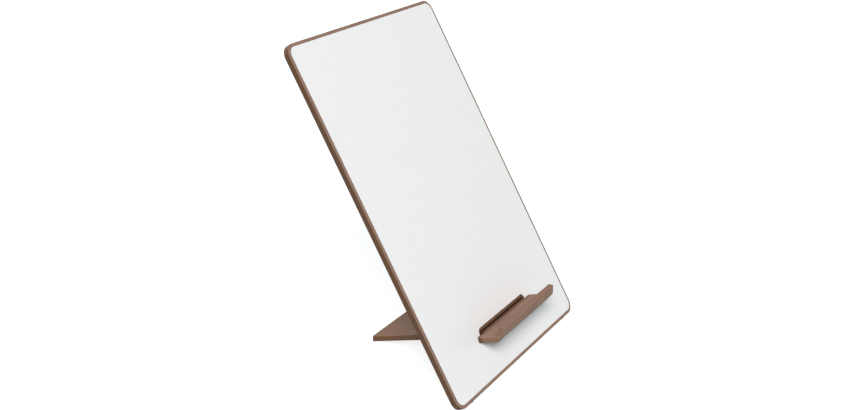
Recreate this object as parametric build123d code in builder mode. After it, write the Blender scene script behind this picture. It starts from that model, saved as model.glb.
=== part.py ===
from build123d import *
from math import cos, radians, sin, tan
import os

os.makedirs("parts", exist_ok=True)

# Desk whiteboard easel: a portrait steel-faced board that leans back on a flat stand plate.
# The plate passes through a slot low in the board. Its wide front end is the pen shelf,
# with a rail along it, and its narrower tongue reaches back to the desk as the leg.
# Millimetres and degrees. +Z is up, the writing face looks towards -Y, and the origin is
# on the desk at the centre of the easel's footprint box.

# Board
board_width = 400.0
board_height = 580.0
board_thickness = 9.0
board_corner_radius = 18.0
board_edge_radius = 0.6
lean_angle = 30.0

# Steel writing sheet and the film that bonds it
sheet_thickness = 0.5
sheet_margin = 5.3
sheet_corner_radius = 12.7
film_thickness = 0.2
film_inset = 1.5

# Stand plate: shelf in front, leg behind
plate_thickness = 9.0
plate_angle = 13.75
shelf_height = 63.0
shelf_width = 178.0
shelf_depth = 36.0
leg_width = 143.0
plate_corner_radius = 3.0
plate_edge_radius = 0.6
relief_radius = 2.5
relief_offset = 1.5

# Slot in the board, with a shallow rebate round it inside the cut-out in the steel sheet
slot_side_clearance = 0.5
slot_clearance = 0.2
slot_corner_radius = 1.0
cutout_margin = 5.3
cutout_corner_radius = 9.0
rebate_depth = 0.8
shoulder_gap = 0.1

# Upright rail along the front of the shelf, and the bevelled nose under it
rail_thickness = 9.0
rail_height = 17.5
crown_radius = 2.2
nose_angle = 37.0
nose_radius = 2.5

# Steel pins that hold the rail while its glue sets
pin_diameter = 1.2
pin_length = 14.0
pin_inset = 25.0
pin_clearance = 0.02
pin_cover = 1.5

# Self-adhesive rubber feet
foot_thickness = 1.2
foot_rim_bevel = 0.3
board_foot_diameter = 7.0
board_foot_inset = 40.0
leg_foot_diameter = 8.0
leg_foot_inset = 15.0
leg_foot_setback = 5.5


def foot_reach(diameter, tilt):
    """Height that a round foot holds the middle of its seat above the desk when tilted."""
    sole_edge = (diameter / 2 - foot_rim_bevel) * sin(tilt) + foot_thickness * cos(tilt)
    bevel_top = diameter / 2 * sin(tilt) + (foot_thickness - foot_rim_bevel) * cos(tilt)
    return max(sole_edge, bevel_top)


# Directions: the board's face, and the plate that slopes down behind it
lean = radians(lean_angle)
slope = radians(lean_angle - plate_angle)
board_up = Vector(0, sin(lean), cos(lean))
board_out = Vector(0, -cos(lean), sin(lean))
plate_forward = Vector(0, -cos(slope), sin(slope))
plate_up = Vector(0, sin(slope), cos(slope))

# Heights above the desk
base_height = foot_reach(board_foot_diameter, lean) + board_thickness / 2 * sin(lean)
face_build_up = film_thickness + sheet_thickness
shoulder_out = face_build_up + shoulder_gap
plate_height = base_height + shelf_height * cos(lean) + shoulder_out * sin(lean)
leg_foot_back = (plate_height - foot_reach(leg_foot_diameter, slope)) / sin(slope)
leg_length = leg_foot_back + leg_foot_setback

# Depths from the board's front lower edge, backwards positive, and the centred origin
plate_back = shelf_height * sin(lean) - shoulder_out * cos(lean)
shelf_top_back = plate_back + plate_thickness * sin(slope)
rail_inner_back = shelf_top_back - shelf_depth * cos(slope)
front_reach = rail_inner_back - rail_thickness
back_reach = (
    (board_height - board_edge_radius) * sin(lean)
    + (board_thickness - board_edge_radius) * cos(lean)
    + board_edge_radius
)
base_back = -(front_reach + back_reach) / 2

face = Plane(origin=(0, base_back, base_height), x_dir=(1, 0, 0), z_dir=board_out)
plate_origin = face.origin + board_up * shelf_height + board_out * shoulder_out
underside = Plane(origin=plate_origin, x_dir=(1, 0, 0), z_dir=plate_up)

# Slot: just high enough for the slanted plate to pass straight through the board
face_angle = radians(plate_angle)
plate_low = shelf_height + shoulder_out * tan(face_angle)
plate_high = plate_low + plate_thickness / cos(face_angle) + board_thickness * tan(face_angle)
slot_low = plate_low - slot_clearance
slot_high = plate_high + slot_clearance
slot_middle = (slot_low + slot_high) / 2
slot_height = slot_high - slot_low
slot_width = leg_width + 2 * slot_side_clearance


def face_outline(inset, corner_radius):
    """Rounded outline of the board, drawn in from its edges."""
    with Locations((0, board_height / 2)):
        RectangleRounded(board_width - 2 * inset, board_height - 2 * inset, corner_radius)


def slot_outline(margin, corner_radius, mode=Mode.ADD):
    """Rounded outline of the slot, drawn out from its edges."""
    with Locations((0, slot_middle)):
        RectangleRounded(
            slot_width + 2 * margin, slot_height + 2 * margin, corner_radius, mode=mode
        )


# Board core with softened arrises
with BuildPart() as panel_core:
    with BuildSketch(face.offset(-board_thickness)):
        face_outline(0, board_corner_radius)
    extrude(amount=board_thickness)
    front_and_back = panel_core.faces().filter_by(face)
    fillet(front_and_back.edges(), board_edge_radius)
    with BuildSketch(face.offset(-board_thickness)):
        slot_outline(0, slot_corner_radius)
    extrude(amount=board_thickness, mode=Mode.SUBTRACT)
    with BuildSketch(face):
        slot_outline(cutout_margin, cutout_corner_radius)
    extrude(amount=-rebate_depth, mode=Mode.SUBTRACT)
panel_core.part.label = "panel_core"
export_step(panel_core.part, "parts/panel_core.step")

# Adhesive film, a little smaller than the sheet it holds
with BuildPart() as adhesive_film:
    with BuildSketch(face):
        face_outline(sheet_margin + film_inset, sheet_corner_radius - film_inset)
        slot_outline(cutout_margin + film_inset, cutout_corner_radius + film_inset, Mode.SUBTRACT)
    extrude(amount=film_thickness)
adhesive_film.part.label = "adhesive_film"
export_step(adhesive_film.part, "parts/adhesive_film.step")

# Enamelled steel sheet
with BuildPart() as writing_sheet:
    with BuildSketch(face.offset(film_thickness)):
        face_outline(sheet_margin, sheet_corner_radius)
        slot_outline(cutout_margin, cutout_corner_radius, Mode.SUBTRACT)
    extrude(amount=sheet_thickness)
writing_sheet.part.label = "writing_sheet"
export_step(writing_sheet.part, "parts/writing_sheet.step")

# Rail and nose: the rail stands plumb on the shelf's front end, over the bevel
rail_inner = base_back + rail_inner_back
rail_front = rail_inner - rail_thickness
joint_rise = (base_back + plate_back - rail_inner) * tan(slope)
rail_foot = plate_height + joint_rise + plate_thickness / cos(slope)
rail_front_foot = rail_foot + rail_thickness * tan(slope)
rail_top = rail_foot + rail_height
shelf_length = shelf_depth + rail_thickness / cos(slope)
shelf_top = underside.offset(plate_thickness)
steepness = radians(nose_angle)
bevel = Plane(
    origin=shelf_top.origin + plate_forward * shelf_length,
    x_dir=(1, 0, 0),
    z_dir=plate_forward * sin(steepness) - plate_up * cos(steepness),
)
leg_end = Plane(
    origin=plate_origin - plate_forward * leg_length, x_dir=(1, 0, 0), z_dir=(0, -1, 0)
)
relief_side = leg_width / 2 + relief_offset

# Pins: plumb, from just above the bevel up into the middle of the rail
rail_middle = rail_front + rail_thickness / 2
bevel_above_pins = rail_front_foot - rail_thickness / 2 * tan(steepness + slope)
pin_seat = Plane((0, rail_middle, bevel_above_pins + pin_cover))
pin_spacing = shelf_width / 2 - pin_inset
with BuildSketch(pin_seat) as pin_row:
    with GridLocations(pin_spacing, 0, 3, 1):
        Circle(pin_diameter / 2 + pin_clearance)

# Glued stand: plate and rail in one, because their front edges are rounded over together.
# The leg ends plumb, and the shoulders have round reliefs at their roots.
with BuildPart() as glued_stand:
    with BuildSketch(underside):
        with Locations((0, -shelf_length / 2)):
            shelf = Rectangle(shelf_width, shelf_length)
        fillet(shelf.vertices().group_by(Axis.Y)[-1], plate_corner_radius)
        with Locations((0, leg_length / 2)):
            Rectangle(leg_width, leg_length + 2 * plate_thickness)
    extrude(amount=plate_thickness)
    split(bisect_by=bevel, keep=Keep.BOTTOM)
    split(bisect_by=leg_end, keep=Keep.TOP)
    leg_corners = glued_stand.edges().filter_by(Axis.Z).group_by(Axis.Y)[-1]
    fillet(leg_corners, plate_corner_radius)
    with BuildSketch(Plane.YZ):
        with BuildLine():
            Polyline(
                (rail_inner, rail_foot),
                (rail_inner, rail_top),
                (rail_front, rail_top),
                (rail_front, rail_front_foot),
                close=True,
            )
        make_face()
    extrude(amount=shelf_width / 2, both=True)
    rail_face = glued_stand.faces().filter_by(Axis.Y).sort_by(Axis.Y)[0]
    nose = glued_stand.faces().filter_by(bevel)[0]
    nose_edges = nose.edges().sort_by(Axis.Z)[1:]
    fillet(nose_edges + rail_face.edges().filter_by(Axis.Z), nose_radius)
    crown = glued_stand.faces().sort_by(Axis.Z)[-1]
    fillet(crown.edges(), crown_radius)
    rail_back = glued_stand.faces().filter_by(Axis.Y).sort_by(Axis.Y)[1]
    broad_faces = glued_stand.faces().filter_by(underside)
    open_edges = broad_faces.edges().filter_by(lambda edge: edge not in rail_back.edges())
    fillet(open_edges, plate_edge_radius)
    with BuildSketch(underside):
        with Locations((-relief_side, 0), (relief_side, 0)):
            Circle(relief_radius)
    extrude(amount=plate_thickness, mode=Mode.SUBTRACT)

# Stand plate: the glued stand up to the glue line
with BuildPart() as stand_plate:
    add(glued_stand.part)
    split(bisect_by=shelf_top, keep=Keep.BOTTOM)
    extrude(pin_row.sketch, amount=pin_length, mode=Mode.SUBTRACT)
stand_plate.part.label = "stand_plate"
export_step(stand_plate.part, "parts/stand_plate.step")

# Pen rail: what stands on the glue line
with BuildPart() as pen_rail:
    add(glued_stand.part)
    split(bisect_by=shelf_top, keep=Keep.TOP)
    extrude(pin_row.sketch, amount=pin_length, mode=Mode.SUBTRACT)
pen_rail.part.label = "pen_rail"
export_step(pen_rail.part, "parts/pen_rail.step")

# Rail pins
for place, name in ((-1, "left"), (0, "middle"), (1, "right")):
    with BuildPart() as rail_pin:
        with BuildSketch(pin_seat):
            with Locations((place * pin_spacing, 0)):
                Circle(pin_diameter / 2)
        extrude(amount=pin_length)
    rail_pin.part.label = f"rail_pin_{name}"
    export_step(rail_pin.part, f"parts/rail_pin_{name}.step")

# Rubber feet: two on the board's lower edge, and two under the back of the leg
board_foot_seat = Plane(
    origin=face.origin - board_out * board_thickness / 2, x_dir=(1, 0, 0), z_dir=-board_up
)
leg_foot_seat = Plane(
    origin=plate_origin - plate_forward * leg_foot_back, x_dir=(1, 0, 0), z_dir=-plate_up
)
board_foot_side = board_width / 2 - board_foot_inset
leg_foot_side = leg_width / 2 - leg_foot_inset
foot_sets = (
    ("board_foot", board_foot_seat, board_foot_side, board_foot_diameter),
    ("leg_foot", leg_foot_seat, leg_foot_side, leg_foot_diameter),
)
for kind, seat, side, diameter in foot_sets:
    for place, name in ((-side, "left"), (side, "right")):
        with BuildPart() as rubber_foot:
            with BuildSketch(seat):
                with Locations((place, 0)):
                    Circle(diameter / 2)
            extrude(amount=foot_thickness)
            rim = rubber_foot.edges().sort_by(Axis(seat.origin, seat.z_dir))[-1]
            chamfer(rim, foot_rim_bevel)
        rubber_foot.part.label = f"{kind}_{name}"
        export_step(rubber_foot.part, f"parts/{kind}_{name}.step")
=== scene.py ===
from math import cos, pi, radians, sin

import bpy
from mathutils import Euler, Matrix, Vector


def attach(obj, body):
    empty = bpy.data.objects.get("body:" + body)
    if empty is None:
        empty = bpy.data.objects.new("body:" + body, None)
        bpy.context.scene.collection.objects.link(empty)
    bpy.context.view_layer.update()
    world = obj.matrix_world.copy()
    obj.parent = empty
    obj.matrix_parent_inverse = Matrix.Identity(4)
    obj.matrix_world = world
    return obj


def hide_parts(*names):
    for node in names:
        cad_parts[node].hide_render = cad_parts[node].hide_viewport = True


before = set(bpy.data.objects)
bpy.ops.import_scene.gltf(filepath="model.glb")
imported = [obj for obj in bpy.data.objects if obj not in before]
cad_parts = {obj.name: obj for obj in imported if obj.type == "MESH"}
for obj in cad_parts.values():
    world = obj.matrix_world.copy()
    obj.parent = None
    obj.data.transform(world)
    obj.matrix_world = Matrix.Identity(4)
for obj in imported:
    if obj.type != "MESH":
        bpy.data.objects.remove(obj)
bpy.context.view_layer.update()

# Board core: a 9 mm panel of fibreboard, dyed brown right through and sealed matt. Its two
# faces are pressed skins, greyer and closer than the routed edges, and its sawn sides across its
# width are darker. Its cut edges are a far darker brown than the plate's and rail's, as painted
# shade; its arrises are darkened as painted shade of an eased edge, and its corners take painted
# shade.
LEAN = radians(30.0)
BOARD_TILT = pi / 2 - LEAN
BOARD_THICKNESS = 0.009
BOARD_HALF_WIDTH = 0.2
# Reach of its painted corner shade and strength of its painted arris shade. Its heart is far
# darker than the plate's and rail's, as painted shade on its sides.
BOARD_CORNER_SHADE_REACH = 0.0015
BOARD_ARRIS_SHADE = -0.6
BOARD_SKIN = (0.278, 0.178, 0.131)
SHADED_BOARD_HEART = (0.150, 0.085, 0.053)

# The board's seat is the middle of its lower front edge, where the core's two flats would meet.
board_up = Vector((0.0, sin(LEAN), cos(LEAN)))
board_out = Vector((0.0, -cos(LEAN), sin(LEAN)))
core_points = [vertex.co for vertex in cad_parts["panel_core"].data.vertices]
core_base = min(board_up.dot(point) for point in core_points)
core_face = max(board_out.dot(point) for point in core_points)
board_seat = board_up * core_base + board_out * core_face


class Channel:
    """A number or vector in a finish. Arithmetic on it adds the nodes that work it out."""

    def __init__(self, finish, socket):
        self.finish = finish
        self.socket = socket

    def _work(self, operation, *values):
        return self.finish.add("ShaderNodeMath", {"operation": operation}, dict(enumerate(values)))

    def __add__(self, other):
        return self._work("ADD", self, other)

    def __sub__(self, other):
        return self._work("SUBTRACT", self, other)

    def __rsub__(self, other):
        return self._work("SUBTRACT", other, self)

    def __mul__(self, other):
        return self._work("MULTIPLY", self, other)

    def __abs__(self):
        return self._work("ABSOLUTE", self)

    __radd__ = __add__
    __rmul__ = __mul__

    def axis(self, name):
        """One coordinate of a vector."""
        return self.finish.add("ShaderNodeSeparateXYZ", {}, {"Vector": self}, name)

    def scaled(self, *factors):
        """A vector stretched by its own factor on each axis."""
        return self.finish.add(
            "ShaderNodeVectorMath", {"operation": "MULTIPLY"}, {0: self, 1: factors}
        )

    def times(self, factor):
        """A colour or vector, brighter or longer by one factor."""
        return self.finish.add(
            "ShaderNodeVectorMath", {"operation": "SCALE"}, {0: self, "Scale": factor}
        )

    def ramp(self, start, end, low=0.0, high=1.0):
        """A smooth step from low to high as the number goes from start to end."""
        limits = {"From Min": start, "From Max": end, "To Min": low, "To Max": high}
        return self.finish.add(
            "ShaderNodeMapRange", {"interpolation_type": "SMOOTHSTEP"}, {"Value": self, **limits}
        )


class Finish:
    """The nodes of one material, or of the studio's world, and the one way to add to them."""

    def __init__(self, owner):
        owner.use_nodes = True
        owner.node_tree.nodes.clear()
        self.owner = owner
        self.tree = owner.node_tree

    def add(self, kind, settings=None, sockets=None, output=0):
        """Adds a node: its settings come first, then the values or links of its sockets."""
        node = self.tree.nodes.new(kind)
        for name, value in (settings or {}).items():
            setattr(node, name, value)
        for name, value in (sockets or {}).items():
            if isinstance(value, Channel):
                self.tree.links.new(value.socket, node.inputs[name])
            else:
                node.inputs[name].default_value = value
        return Channel(self, node.outputs[output]) if node.outputs else None

    def place(self, seat=(0.0, 0.0, 0.0), tilt=0.0):
        """The piece's own coordinates: x across, y along its length, z out of its face."""
        raw = self.add("ShaderNodeTexCoord", output="Object")
        return self.add(
            "ShaderNodeMapping",
            {"vector_type": "TEXTURE"},
            {"Vector": raw, "Location": seat, "Rotation": (tilt, 0.0, 0.0)},
        )

    def noise(self, where, scale, detail=2.0, roughness=0.5):
        """A cloudy pattern round a half, with about as many clouds in a metre as its scale."""
        sockets = {"Vector": where, "Scale": scale, "Detail": detail, "Roughness": roughness}
        return self.add("ShaderNodeTexNoise", {}, sockets, "Fac")

    def blend(self, share, first, second):
        """A colour between two others, each a red, green and blue, or already a channel."""
        ends = [end if isinstance(end, Channel) else (*end, 1.0) for end in (first, second)]
        return self.add(
            "ShaderNodeMix", {"data_type": "RGBA"}, {0: share, 6: ends[0], 7: ends[1]}, 2
        )

    def bump(self, height, strength, distance):
        """The normals of a fine relief, where a height of 1 stands up by the distance."""
        sockets = {"Height": height, "Strength": strength, "Distance": distance}
        return self.add("ShaderNodeBump", {}, sockets)

    def surface(self, **sockets):
        """Closes a material with its shader, and gives the material."""
        named = {name.replace("_", " "): value for name, value in sockets.items()}
        shader = self.add("ShaderNodeBsdfPrincipled", {}, named)
        self.add("ShaderNodeOutputMaterial", {}, {"Surface": shader})
        return self.owner


SKIN_STARTS = 0.0007
SKIN_FULL = 0.0001
SIDE_DARK_STARTS = 0.0015
SIDE_DARK_FULL = 0.0003
SIDE_DARK_SHARE = (0.75, 0.73, 0.72)
# How dark the painted shade in corners gets.
CORNER_SHADE_SHARE = (0.14, 0.07, 0.04)
ARRIS_REACH = 0.0016
TONE_RANGE = (0.3, 0.7, 0.86, 1.14)
TOOTH_STRENGTH = 0.35
TOOTH_DEPTH = 0.00025
BOARD_SPECULAR = 0.08


def dress(node, material):
    """Puts a finish on a piece that comes from the CAD."""
    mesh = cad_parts[node].data
    mesh.materials.clear()
    mesh.materials.append(material)


def fibreboard(
    name, seat, tilt, middle, thickness, half_width, skin, heart, corner_shade_reach, arris_light_and_wear, leg_shade=None
):
    """Dyed fibreboard. middle is how far the sheet's middle lies out of the seat. Its arrises are
    paler by the arris setting, part wear and part painted highlight, or darker where that is
    below zero, as painted shade, and its corners take painted shade within their reach."""
    finish = Finish(bpy.data.materials.new(name))
    where = finish.place(seat, tilt)

    # Pressed skins on both faces, and the sawn sides across the width darker.
    depth = abs(where.axis("Z") - middle)
    pressed = depth.ramp(thickness / 2 - SKIN_STARTS, thickness / 2 - SKIN_FULL)
    dark_sides = abs(where.axis("X")).ramp(half_width - SIDE_DARK_STARTS, half_width - SIDE_DARK_FULL)
    dark_side_heart = [part * share for part, share in zip(heart, SIDE_DARK_SHARE)]
    brown = finish.blend(pressed, finish.blend(dark_sides, heart, dark_side_heart), skin)

    # Painted shade in corners that shut out the room.
    nook = finish.add(
        "ShaderNodeAmbientOcclusion", {"samples": 12}, {"Distance": corner_shade_reach}, "AO"
    )
    unshaded = nook.ramp(start=0.42, end=0.98)
    # On the leg, a painted shade, darker and warmer towards its end, replaces the painted corner
    # shade.
    if leg_shade:
        start, end, shaded_leg_skin, shaded_leg_heart = leg_shade
        leg_shaded = where.axis("Y").ramp(start, end)
        brown = finish.blend(leg_shaded, brown, finish.blend(pressed, shaded_leg_heart, shaded_leg_skin))
        unshaded = unshaded + (1.0 - unshaded) * leg_shaded

    # Cloudy dye, felted fibres, dark flecks and, in a cut edge, the layers of the sheet.
    cloud = finish.noise(where, scale=34.0, detail=3.0, roughness=0.6)
    felt = finish.noise(where.scaled(1.0, 0.55, 1.0), scale=420.0, detail=4.0, roughness=0.65)
    specks = finish.noise(where.scaled(0.6, 1.0, 1.0), scale=900.0, detail=1.0)
    fleck = specks.ramp(start=0.62, end=0.74)
    layers = finish.noise(
        where.scaled(60.0, 60.0, 1500.0), scale=1.0, detail=3.0, roughness=0.6
    )
    face_tone = (cloud * 0.45 + felt * 0.55).ramp(*TONE_RANGE) - fleck * 0.13
    edge_tone = (layers * 0.6 + felt * 0.4).ramp(*TONE_RANGE)
    tone = pressed * face_tone + (1.0 - pressed) * edge_tone

    # Arrises: paler where the setting is above zero, part wear and part painted highlight, and
    # darker where it is below zero, as painted shade of an eased edge.
    arris = 1.0 - finish.add(
        "ShaderNodeAmbientOcclusion",
        {"samples": 8, "inside": True, "only_local": True},
        {"Distance": ARRIS_REACH},
        "AO",
    )
    uneven = felt.ramp(start=0.3, end=0.6, low=0.6, high=1.0)
    arris_wear_and_light = arris.ramp(start=0.04, end=0.5) * uneven
    toned = brown.times(tone * (1.0 + arris_light_and_wear * arris_wear_and_light))
    tooth = felt * 0.6 + (1.0 - pressed) * layers * 0.8 - fleck * 0.3
    return finish.surface(
        Base_Color=finish.blend(unshaded, toned.scaled(*CORNER_SHADE_SHARE), toned),
        Roughness=0.66 - 0.1 * pressed + 0.12 * (felt - 0.5) - 0.12 * arris_wear_and_light,
        Specular_IOR_Level=BOARD_SPECULAR,
        Normal=finish.bump(tooth, TOOTH_STRENGTH, TOOTH_DEPTH),
    )


dress(
    "panel_core",
    fibreboard(
        "brown_board_panel",
        seat=board_seat,
        tilt=BOARD_TILT,
        middle=-BOARD_THICKNESS / 2,
        thickness=BOARD_THICKNESS,
        half_width=BOARD_HALF_WIDTH,
        skin=BOARD_SKIN,
        heart=SHADED_BOARD_HEART,
        corner_shade_reach=BOARD_CORNER_SHADE_REACH,
        arris_light_and_wear=BOARD_ARRIS_SHADE,
    ),
)

# Adhesive film: a double-sided bonding film, 0.2 mm thick and the colour of old paper. It is
# rolled onto the core and kept 1.5 mm back from the sheet's edge, so it only shows as a line.
FILM_THICKNESS = 0.0002
FILM_YELLOWED = (0.62, 0.60, 0.53)
FILM_PALE = (0.74, 0.72, 0.66)

film = Finish(bpy.data.materials.new("bonding_film"))
film_place = film.place(board_seat, BOARD_TILT)
film_haze = film.noise(film_place, scale=160.0, detail=3.0, roughness=0.6)
film_bubble = film.noise(film_place, scale=900.0, detail=0.0).ramp(start=0.66, end=0.72)
film_relief = film_haze - 0.5 * film_bubble
dress(
    "adhesive_film",
    film.surface(
        Base_Color=film.blend(film_haze, FILM_YELLOWED, FILM_PALE),
        Roughness=0.55 + 0.2 * film_haze,
        Normal=film.bump(film_relief, strength=0.3, distance=0.0001),
    ),
)

# Writing sheet: half-millimetre steel under fired white enamel. The enamel flows a little as
# it melts, which leaves a faint orange peel, and a felt eraser leaves it very lightly hazed.
SHEET_THICKNESS = 0.0005
ENAMEL_WHITE = (0.838, 0.838, 0.838)
ENAMEL_HAZED = (0.828, 0.828, 0.828)

enamel = Finish(bpy.data.materials.new("white_enamel"))
enamel_place = enamel.place(board_seat, BOARD_TILT)
orange_peel = enamel.noise(enamel_place, scale=260.0, detail=2.0, roughness=0.4)
sheet_wave = enamel.noise(enamel_place, scale=6.0, detail=1.0)
enamel_relief = orange_peel * 0.2 + sheet_wave
eraser_strokes = enamel_place.scaled(9.0, 60.0, 9.0)
eraser_haze = enamel.noise(eraser_strokes, scale=1.0, detail=4.0, roughness=0.6)
hazed = eraser_haze.ramp(start=0.35, end=0.75)
dress(
    "writing_sheet",
    enamel.surface(
        Base_Color=enamel.blend(hazed, ENAMEL_WHITE, ENAMEL_HAZED),
        Roughness=0.34 + 0.08 * eraser_haze,
        Normal=enamel.bump(enamel_relief, strength=0.05, distance=0.0004),
    ),
)

# Stand plate: one flat piece of the same dyed board, cut to a T. Its wide front end is the pen
# shelf, with a bevelled nose, and its tongue is the leg, sawn plumb. The leg is painted darker
# and warmer, more and more towards its end, as painted shade of the board leaning over it. The
# plate's arrises are paler, part wear and part painted highlight.
PLATE_ANGLE = radians(13.75)
PLATE_THICKNESS = 0.009
SHELF_HEIGHT = 0.063
SHELF_HALF_WIDTH = 0.089
SHOULDER_GAP = 0.0001
# Reach of the painted shade in the plate's corners, and how much paler its arrises are, part wear
# and part painted highlight.
PLATE_CORNER_SHADE_REACH = 0.019
PLATE_ARRIS_WEAR_AND_HIGHLIGHT = 0.24
PLATE_SKIN = (0.286, 0.177, 0.128)
PLATE_HEART = (0.248, 0.154, 0.095)
# The leg's painted shade: where it starts and is full along the leg, and its colours.
LEG_SHADE_STARTS = 0.0
LEG_SHADE_FULL = 0.24
SHADED_LEG_SKIN = (0.207, 0.107, 0.061)
SHADED_LEG_HEART = (0.142, 0.070, 0.040)

# The plate's seat is the middle of its underside, where its shoulders stop against the board.
slope = LEAN - PLATE_ANGLE
shoulder_out = FILM_THICKNESS + SHEET_THICKNESS + SHOULDER_GAP
plate_seat = board_seat + board_up * SHELF_HEIGHT + board_out * shoulder_out
dress(
    "stand_plate",
    fibreboard(
        "brown_board_plate",
        seat=plate_seat,
        tilt=-slope,
        middle=PLATE_THICKNESS / 2,
        thickness=PLATE_THICKNESS,
        half_width=SHELF_HALF_WIDTH,
        skin=PLATE_SKIN,
        heart=PLATE_HEART,
        corner_shade_reach=PLATE_CORNER_SHADE_REACH,
        arris_light_and_wear=PLATE_ARRIS_WEAR_AND_HIGHLIGHT,
        leg_shade=(LEG_SHADE_STARTS, LEG_SHADE_FULL, SHADED_LEG_SKIN, SHADED_LEG_HEART),
    ),
)

# Pen rail: a 9 mm strip of the same board, glued upright on the front end of the shelf, over
# the plate's bevelled nose, so that pens can't roll off. Its crown is rounded over. What shows
# is a copy of its CAD mesh with the triangles joined, without the two that have no area.
RAIL_TILT = pi / 2
RAIL_THICKNESS = 0.009
RAIL_JOINT_HEIGHT = 0.080
# Reach of the painted shade in the rail's corners.
RAIL_CORNER_SHADE_REACH = 0.012
RAIL_SKIN = (0.300, 0.183, 0.127)
RAIL_HEART = (0.256, 0.153, 0.113)
SAME_POINT_DIGITS = 7


def joined_copy(node, name):
    """A copy of a CAD mesh, its triangles joined, with the CAD's own normals at the corners.
    Points that agree to a tenth of a micrometre become one."""
    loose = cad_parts[node].data
    numbers = {}
    points = []
    triangles = []
    normals = []
    for triangle in loose.polygons:
        corners = []
        for vertex in triangle.vertices:
            point = loose.vertices[vertex].co
            key = tuple(round(part, SAME_POINT_DIGITS) for part in point)
            if key not in numbers:
                numbers[key] = len(points)
                points.append(tuple(point))
            corners.append(numbers[key])
        if len(set(corners)) == 3:
            triangles.append(corners)
            normals.extend(tuple(loose.corner_normals[c].vector) for c in triangle.loop_indices)
    mesh = bpy.data.meshes.new(name)
    mesh.from_pydata(points, [], triangles)
    mesh.normals_split_custom_set(normals)
    joined = bpy.data.objects.new(name, mesh)
    bpy.context.scene.collection.objects.link(joined)
    return joined


# The rail's seat is in the middle of its thickness, level with the glue joint.
rail_front = min(vertex.co.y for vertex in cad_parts["pen_rail"].data.vertices)
rail_seat = Vector((0.0, rail_front + RAIL_THICKNESS / 2, RAIL_JOINT_HEIGHT))
glued_rail = joined_copy("pen_rail", "glued_rail")
glued_rail.data.materials.append(
    fibreboard(
        "brown_board_rail",
        seat=rail_seat,
        tilt=RAIL_TILT,
        middle=0.0,
        thickness=RAIL_THICKNESS,
        half_width=SHELF_HALF_WIDTH,
        skin=RAIL_SKIN,
        heart=RAIL_HEART,
        corner_shade_reach=RAIL_CORNER_SHADE_REACH,
        arris_light_and_wear=PLATE_ARRIS_WEAR_AND_HIGHLIGHT,
    )
)
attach(glued_rail, "stand")
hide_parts("pen_rail")

# Rail pins: three bright steel pins, drawn to 1.2 mm, that hold the rail while its glue sets.
# Drawing leaves fine lines along them.
STEEL_IN_THE_LINES = (0.52, 0.52, 0.54)
STEEL_BRIGHT = (0.68, 0.68, 0.70)

pin_steel = Finish(bpy.data.materials.new("drawn_steel"))
pin_place = pin_steel.place(plate_seat, -slope)
drawn_lines = pin_steel.noise(pin_place.scaled(9000.0, 120.0, 9000.0), scale=1.0, detail=2.0)
pin_material = pin_steel.surface(
    Base_Color=pin_steel.blend(drawn_lines, STEEL_IN_THE_LINES, STEEL_BRIGHT),
    Metallic=1.0,
    Roughness=0.22 + 0.16 * drawn_lines,
    Normal=pin_steel.bump(drawn_lines, strength=0.2, distance=0.00002),
)
for side in ("left", "middle", "right"):
    dress(f"rail_pin_{side}", pin_material)

# Rubber feet: small moulded discs with a bevelled rim and ringed soles that grip the desk.
# Two are stuck to the board's lower edge and two under the back of the leg.
FOOT_THICKNESS = 0.0012
FOOT_RIM = 0.0003
FOOT_RING_PITCH = 0.0012
FOOT_RING_DEPTH = 0.00018
FOOT_RIMS_TO_RINGS = 1.5
FOOT_SIDES = 40
FOOT_WALL_STEPS = 4
FOOT_SOLE_STEPS = 12
FOOT_SHARP_ANGLE = radians(32.0)
SAME_LEVEL = 1e-6
BOARD_FOOT_DIAMETER = 0.007
BOARD_FOOT_INSET = 0.040
LEG_HALF_WIDTH = 0.0715
LEG_FOOT_DIAMETER = 0.008
LEG_FOOT_INSET = 0.015
RUBBER_BLACK = (0.020, 0.020, 0.021)
RUBBER_SCUFFED = (0.052, 0.050, 0.047)

rubber = Finish(bpy.data.materials.new("foot_rubber"))
rubber_place = rubber.place()
mould_grain = rubber.noise(rubber_place, scale=2600.0, detail=3.0, roughness=0.6)
scuff = rubber.noise(rubber_place, scale=420.0, detail=2.0).ramp(start=0.5, end=0.75)
rubber_material = rubber.surface(
    Base_Color=rubber.blend(scuff * 0.5, RUBBER_BLACK, RUBBER_SCUFFED),
    Roughness=0.62 + 0.2 * scuff,
    Normal=rubber.bump(mould_grain, strength=0.3, distance=0.00005),
)

feet_tree = bpy.data.node_groups.new("pair_of_feet", "GeometryNodeTree")
feet_tree.interface.new_socket("Feet", in_out="OUTPUT", socket_type="NodeSocketGeometry")
for name, kind in (
    ("Radius", "NodeSocketFloat"),
    ("Thickness", "NodeSocketFloat"),
    ("Rim", "NodeSocketFloat"),
    ("Ring Pitch", "NodeSocketFloat"),
    ("Ring Depth", "NodeSocketFloat"),
    ("Half Spacing", "NodeSocketFloat"),
    ("Seat", "NodeSocketVector"),
    ("Turn", "NodeSocketVector"),
    ("Rubber", "NodeSocketMaterial"),
):
    feet_tree.interface.new_socket(name, in_out="INPUT", socket_type=kind)
sizes = feet_tree.nodes.new("NodeGroupInput")


def part(kind, settings=None, sockets=None, output=0):
    """Adds a node to the feet: settings first, then the values or links of its sockets."""
    node = feet_tree.nodes.new(kind)
    for name, value in (settings or {}).items():
        setattr(node, name, value)
    for name, value in (sockets or {}).items():
        if isinstance(value, bpy.types.NodeSocket):
            feet_tree.links.new(value, node.inputs[name])
        else:
            node.inputs[name].default_value = value
    return node.outputs[output] if node.outputs else None


def worked(operation, *values):
    """A number worked out in the feet's tree."""
    return part("ShaderNodeMath", {"operation": operation}, dict(enumerate(values)))


def placed(operation, first, second):
    """A point worked out in the feet's tree."""
    return part("ShaderNodeVectorMath", {"operation": operation}, {0: first, 1: second})


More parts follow.
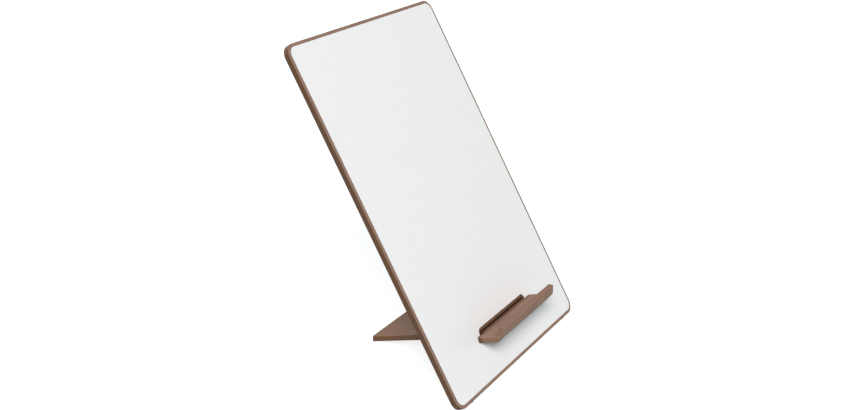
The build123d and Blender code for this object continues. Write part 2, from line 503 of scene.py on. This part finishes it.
def point_at(**axes):
    """A point from its x, y and z. An axis left out is 0."""
    return part("ShaderNodeCombineXYZ", {}, {name.upper(): value for name, value in axes.items()})


radius = sizes.outputs["Radius"]
thickness = sizes.outputs["Thickness"]
rim = sizes.outputs["Rim"]
half_spacing = sizes.outputs["Half Spacing"]
disc = part(
    "GeometryNodeMeshCylinder",
    {"fill_type": "TRIANGLE_FAN"},
    {
        "Vertices": FOOT_SIDES,
        "Side Segments": FOOT_WALL_STEPS,
        "Fill Segments": FOOT_SOLE_STEPS,
        "Radius": radius,
        "Depth": thickness,
    },
    "Mesh",
)
point = part("GeometryNodeInputPosition")
height = part("ShaderNodeSeparateXYZ", {}, {0: point}, "Z")
flat_point = placed("MULTIPLY", point, (1.0, 1.0, 0.0))
reach = part("ShaderNodeVectorMath", {"operation": "LENGTH"}, {0: flat_point}, "Value")
sole = worked("DIVIDE", thickness, 2.0)

# The rim draws in as it nears the sole, and the sole is pressed with rings round its middle.
past_rim = worked("SUBTRACT", height, worked("SUBTRACT", sole, rim))
drawn_in = worked("DIVIDE", worked("MAXIMUM", past_rim, 0.0), radius)
shrink = worked("SUBTRACT", 1.0, drawn_in)
ring_turns = worked("DIVIDE", 2 * pi, sizes.outputs["Ring Pitch"])
wave = worked("COSINE", worked("MULTIPLY", reach, ring_turns))
half_depth = worked("DIVIDE", sizes.outputs["Ring Depth"], 2.0)
trough = worked("MULTIPLY", worked("SUBTRACT", 1.0, wave), half_depth)
on_sole = worked("GREATER_THAN", height, worked("SUBTRACT", sole, SAME_LEVEL))
plain_edge = worked("MULTIPLY", rim, FOOT_RIMS_TO_RINGS)
inside_rim = worked("LESS_THAN", reach, worked("SUBTRACT", radius, plain_edge))
pressed_in = worked("MULTIPLY", trough, worked("MULTIPLY", on_sole, inside_rim))
narrowed = placed("MULTIPLY", point, point_at(x=shrink, y=shrink, z=1.0))
ringed = placed("SUBTRACT", narrowed, point_at(z=pressed_in))
lifted = placed("ADD", ringed, point_at(z=sole))
foot = part("GeometryNodeSetPosition", {}, {"Geometry": disc, "Position": lifted})
row = part(
    "GeometryNodeMeshLine",
    {"mode": "END_POINTS"},
    {
        "Count": 2,
        "Start Location": point_at(x=worked("MULTIPLY", half_spacing, -1.0)),
        "Offset": point_at(x=half_spacing),
    },
)
pair = part("GeometryNodeInstanceOnPoints", {}, {"Points": row, "Instance": foot})
stuck_on = part(
    "GeometryNodeTransform",
    {},
    {"Geometry": pair, "Translation": sizes.outputs["Seat"], "Rotation": sizes.outputs["Turn"]},
)
made_real = part("GeometryNodeRealizeInstances", {}, {"Geometry": stuck_on})
rubbered = part(
    "GeometryNodeSetMaterial", {}, {"Geometry": made_real, "Material": sizes.outputs["Rubber"]}
)
part("NodeGroupOutput", {}, {"Feet": rubbered})


def make_feet(name, body, diameter, spacing_from_middle, seat, turn, nodes):
    """Makes one pair of feet from the tree, as a plain mesh that rides on its body."""
    holder = bpy.data.objects.new(f"{name}_holder", bpy.data.meshes.new(f"{name}_holder"))
    bpy.context.scene.collection.objects.link(holder)
    modifier = holder.modifiers.new("feet", "NODES")
    modifier.node_group = feet_tree
    values = {
        "Radius": diameter / 2,
        "Thickness": FOOT_THICKNESS,
        "Rim": FOOT_RIM,
        "Ring Pitch": FOOT_RING_PITCH,
        "Ring Depth": FOOT_RING_DEPTH,
        "Half Spacing": spacing_from_middle,
        "Seat": seat,
        "Turn": turn,
        "Rubber": rubber_material,
    }
    for item in feet_tree.interface.items_tree:
        if item.in_out == "INPUT":
            modifier[item.identifier] = values[item.name]
    evaluated = holder.evaluated_get(bpy.context.evaluated_depsgraph_get())
    mesh = bpy.data.meshes.new_from_object(evaluated)
    holder.modifiers.remove(modifier)
    bpy.data.objects.remove(holder)
    mesh.shade_smooth()
    mesh.set_sharp_from_angle(angle=FOOT_SHARP_ANGLE)
    feet = bpy.data.objects.new(name, mesh)
    bpy.context.scene.collection.objects.link(feet)
    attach(feet, body)
    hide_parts(*nodes)


make_feet(
    "board_feet",
    "board",
    diameter=BOARD_FOOT_DIAMETER,
    spacing_from_middle=BOARD_HALF_WIDTH - BOARD_FOOT_INSET,
    seat=board_seat - board_out * BOARD_THICKNESS / 2,
    turn=(BOARD_TILT + pi / 2, 0.0, 0.0),
    nodes=("board_foot_left", "board_foot_right"),
)

# A leg foot stands on the edge of its tilted sole, and the plate slopes down until it does.
leg_foot_reach = (LEG_FOOT_DIAMETER / 2 - FOOT_RIM) * sin(slope) + FOOT_THICKNESS * cos(slope)
leg_foot_back = (plate_seat.z - leg_foot_reach) / sin(slope)
plate_back = Vector((0.0, cos(slope), -sin(slope)))
make_feet(
    "leg_feet",
    "stand",
    diameter=LEG_FOOT_DIAMETER,
    spacing_from_middle=LEG_HALF_WIDTH - LEG_FOOT_INSET,
    seat=plate_seat + plate_back * leg_foot_back,
    turn=(pi - slope, 0.0, 0.0),
    nodes=("leg_foot_left", "leg_foot_right"),
)

# Floor and backdrop: a wide matt white desk that runs on into a white studio. The desk keeps
# the easel's shadow, and away from it the camera sees plain white.
DESK_RADIUS = 14.0
DESK_SIDES = 48
SHADED_DESK = (0.275, 0.35, 0.36)
LIT_DESK = (0.295, 0.37, 0.38)
NEAR_WHITE = (0.845, 0.824, 0.820)
FAR_WHITE = (1.02, 1.0, 1.0)
NEAR_ENDS = 0.9
FAR_STARTS = 3.0


def in_view(finish):
    """1 where the camera sees it, straight, in gloss or through glass, and 0 where it lights."""
    seen = finish.add("ShaderNodeLightPath", output="Is Camera Ray")
    for kind in ("Is Glossy Ray", "Is Transmission Ray"):
        ray = finish.add("ShaderNodeLightPath", output=kind)
        seen = finish.add("ShaderNodeMath", {"operation": "MAXIMUM"}, {0: seen, 1: ray})
    return seen


desk_mesh = bpy.data.meshes.new("desk")
desk_turns = [2 * pi * side / DESK_SIDES for side in range(DESK_SIDES)]
desk_mesh.from_pydata(
    [(DESK_RADIUS * cos(turn), DESK_RADIUS * sin(turn), 0.0) for turn in desk_turns],
    [],
    [range(DESK_SIDES)],
)
desk = bpy.data.objects.new("desk", desk_mesh)
bpy.context.scene.collection.objects.link(desk)
desk_finish = Finish(bpy.data.materials.new("desk_white"))
desk_place = desk_finish.place()
desk_grain = desk_finish.noise(desk_place, scale=90.0, detail=3.0, roughness=0.6)
out_from_easel = desk_finish.add(
    "ShaderNodeVectorMath", {"operation": "LENGTH"}, {0: desk_place}, "Value"
)
away = out_from_easel.ramp(start=NEAR_ENDS, end=FAR_STARTS)
plain_white = desk_finish.blend(away, NEAR_WHITE, FAR_WHITE)
desk_mesh.materials.append(
    desk_finish.surface(
        Base_Color=desk_finish.blend(desk_grain, SHADED_DESK, LIT_DESK),
        Roughness=0.9,
        Emission_Color=plain_white.times(in_view(desk_finish)),
        Emission_Strength=1.0,
        Specular_IOR_Level=0.0,
    )
)

# Studio light: a faint, cool white room, one big soft lamp high on the left, which lays the
# shelf's shadow on the sheet below it, and a weak one behind for the board's back.
ROOM_COLOUR = (0.72, 1.0, 1.04, 1.0)
ROOM_STRENGTH = 0.18
WHITE = (1.0, 1.0, 1.0, 1.0)
EASEL_MIDDLE = Vector((0.0, 0.0, 0.25))

world = bpy.data.worlds.new("studio")
bpy.context.scene.world = world
room = Finish(world)
room_light = room.add(
    "ShaderNodeBackground", {}, {"Color": ROOM_COLOUR, "Strength": ROOM_STRENGTH}
)
room_white = room.add("ShaderNodeBackground", {}, {"Color": WHITE, "Strength": 1.0})
room_both = room.add("ShaderNodeMixShader", {}, {0: in_view(room), 1: room_light, 2: room_white})
room.add("ShaderNodeOutputWorld", {}, {"Surface": room_both})


def hang_lamp(name, azimuth, height, distance, size, energy, colour):
    """Hangs one round lamp. Its azimuth turns from the front, and it points at the easel."""
    turn = radians(azimuth)
    rise = radians(height)
    way = Vector((sin(turn) * cos(rise), -cos(turn) * cos(rise), sin(rise)))
    lamp_data = bpy.data.lights.new(name, "AREA")
    lamp_data.shape = "DISK"
    lamp_data.size = size
    lamp_data.energy = energy
    lamp_data.color = colour
    lamp = bpy.data.objects.new(name, lamp_data)
    lamp.location = EASEL_MIDDLE + way * distance
    lamp.rotation_euler = way.to_track_quat("Z", "Y").to_euler()
    bpy.context.scene.collection.objects.link(lamp)


hang_lamp(
    "softbox", azimuth=-60.0, height=38.0, distance=12.0, size=5.0, energy=1870.0,
    colour=(1.0, 0.938, 0.925),
)
hang_lamp(
    "back_lamp", azimuth=150.0, height=12.0, distance=12.0, size=4.0, energy=600.0,
    colour=(1.0, 0.93, 0.89),
)

# Camera: a 49 mm lens on a full-frame camera. It stands left of the easel and above it, and
# takes in the whole board with its shelf and leg.
CAMERA_LENS = 49.412
CAMERA_SENSOR = 36.0
CAMERA_REACH = 60.0
CAMERA_PLACE = Vector((-1.492482, -0.841255, 0.883869))
CAMERA_TURN = Euler((radians(69.1523), radians(-0.2297), radians(-59.6304)))

camera_data = bpy.data.cameras.new("camera")
camera_data.lens = CAMERA_LENS
camera_data.sensor_width = CAMERA_SENSOR
camera_data.clip_end = CAMERA_REACH
camera = bpy.data.objects.new("camera", camera_data)
camera.location = CAMERA_PLACE
camera.rotation_euler = CAMERA_TURN
bpy.context.scene.collection.objects.link(camera)
bpy.context.scene.camera = camera
bpy.context.scene.view_settings.view_transform = "Standard"
